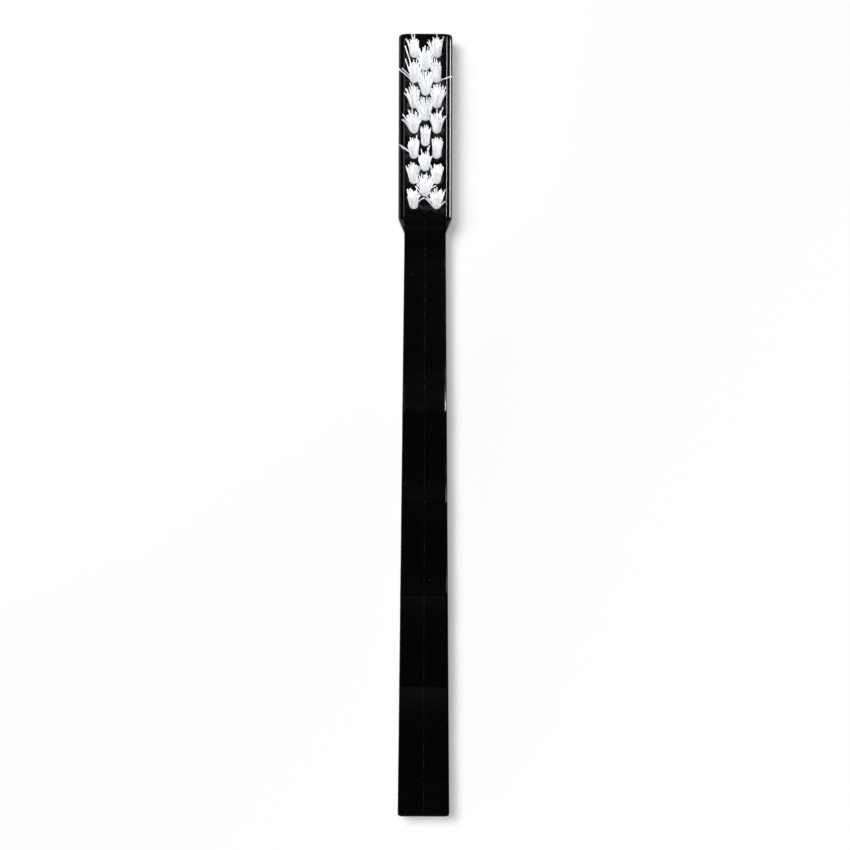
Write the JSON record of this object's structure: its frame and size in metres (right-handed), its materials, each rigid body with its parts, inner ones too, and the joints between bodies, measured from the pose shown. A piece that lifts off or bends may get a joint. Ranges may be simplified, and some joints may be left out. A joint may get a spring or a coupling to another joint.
{
  "type": "utility brush",
  "caption": "Slim utility brush: a moulded plastic handle with shallow finger scallops, and a drilled head holding staggered, staple-set tufts of stiff white nylon strands.",
  "frame": {"origin": "middle of the flat back, below the middle of the brush's length and width", "axes": "+Y along the brush from the tail to the front end of the head, +Z out of the bristle side, +X across the brush"},
  "size_m": [0.0132, 0.1906, 0.0205],
  "materials": {
    "handle_plastic": "black moulded plastic, glossy, with fine handling scratches and a parting line along the middle",
    "bristle_nylon": "white nylon strands, slightly translucent, cut square at the tips",
    "anchor_wire": "flat brass wire, cut to length"
  },
  "bodies": {
    "root": {"handle": "handle_plastic", "tuft_left_1": "bristle_nylon", "tuft_left_2": "bristle_nylon", "tuft_left_3": "bristle_nylon", "tuft_left_4": "bristle_nylon", "tuft_left_5": "bristle_nylon", "tuft_left_6": "bristle_nylon", "tuft_left_7": "bristle_nylon", "tuft_right_1": "bristle_nylon", "tuft_right_2": "bristle_nylon", "tuft_right_3": "bristle_nylon", "tuft_right_4": "bristle_nylon", "tuft_right_5": "bristle_nylon", "tuft_right_6": "bristle_nylon", "tuft_right_7": "bristle_nylon", "tuft_centre_1": "bristle_nylon", "tuft_centre_2": "bristle_nylon", "tuft_centre_3": "bristle_nylon", "tuft_centre_4": "bristle_nylon", "tuft_centre_5": "bristle_nylon", "tuft_centre_6": "bristle_nylon", "anchor_left_1": "anchor_wire", "anchor_left_2": "anchor_wire", "anchor_left_3": "anchor_wire", "anchor_left_4": "anchor_wire", "anchor_left_5": "anchor_wire", "anchor_left_6": "anchor_wire", "anchor_left_7": "anchor_wire", "anchor_right_1": "anchor_wire", "anchor_right_2": "anchor_wire", "anchor_right_3": "anchor_wire", "anchor_right_4": "anchor_wire", "anchor_right_5": "anchor_wire", "anchor_right_6": "anchor_wire", "anchor_right_7": "anchor_wire", "anchor_centre_1": "anchor_wire", "anchor_centre_2": "anchor_wire", "anchor_centre_3": "anchor_wire", "anchor_centre_4": "anchor_wire", "anchor_centre_5": "anchor_wire", "anchor_centre_6": "anchor_wire"}
  },
  "joints": []
}
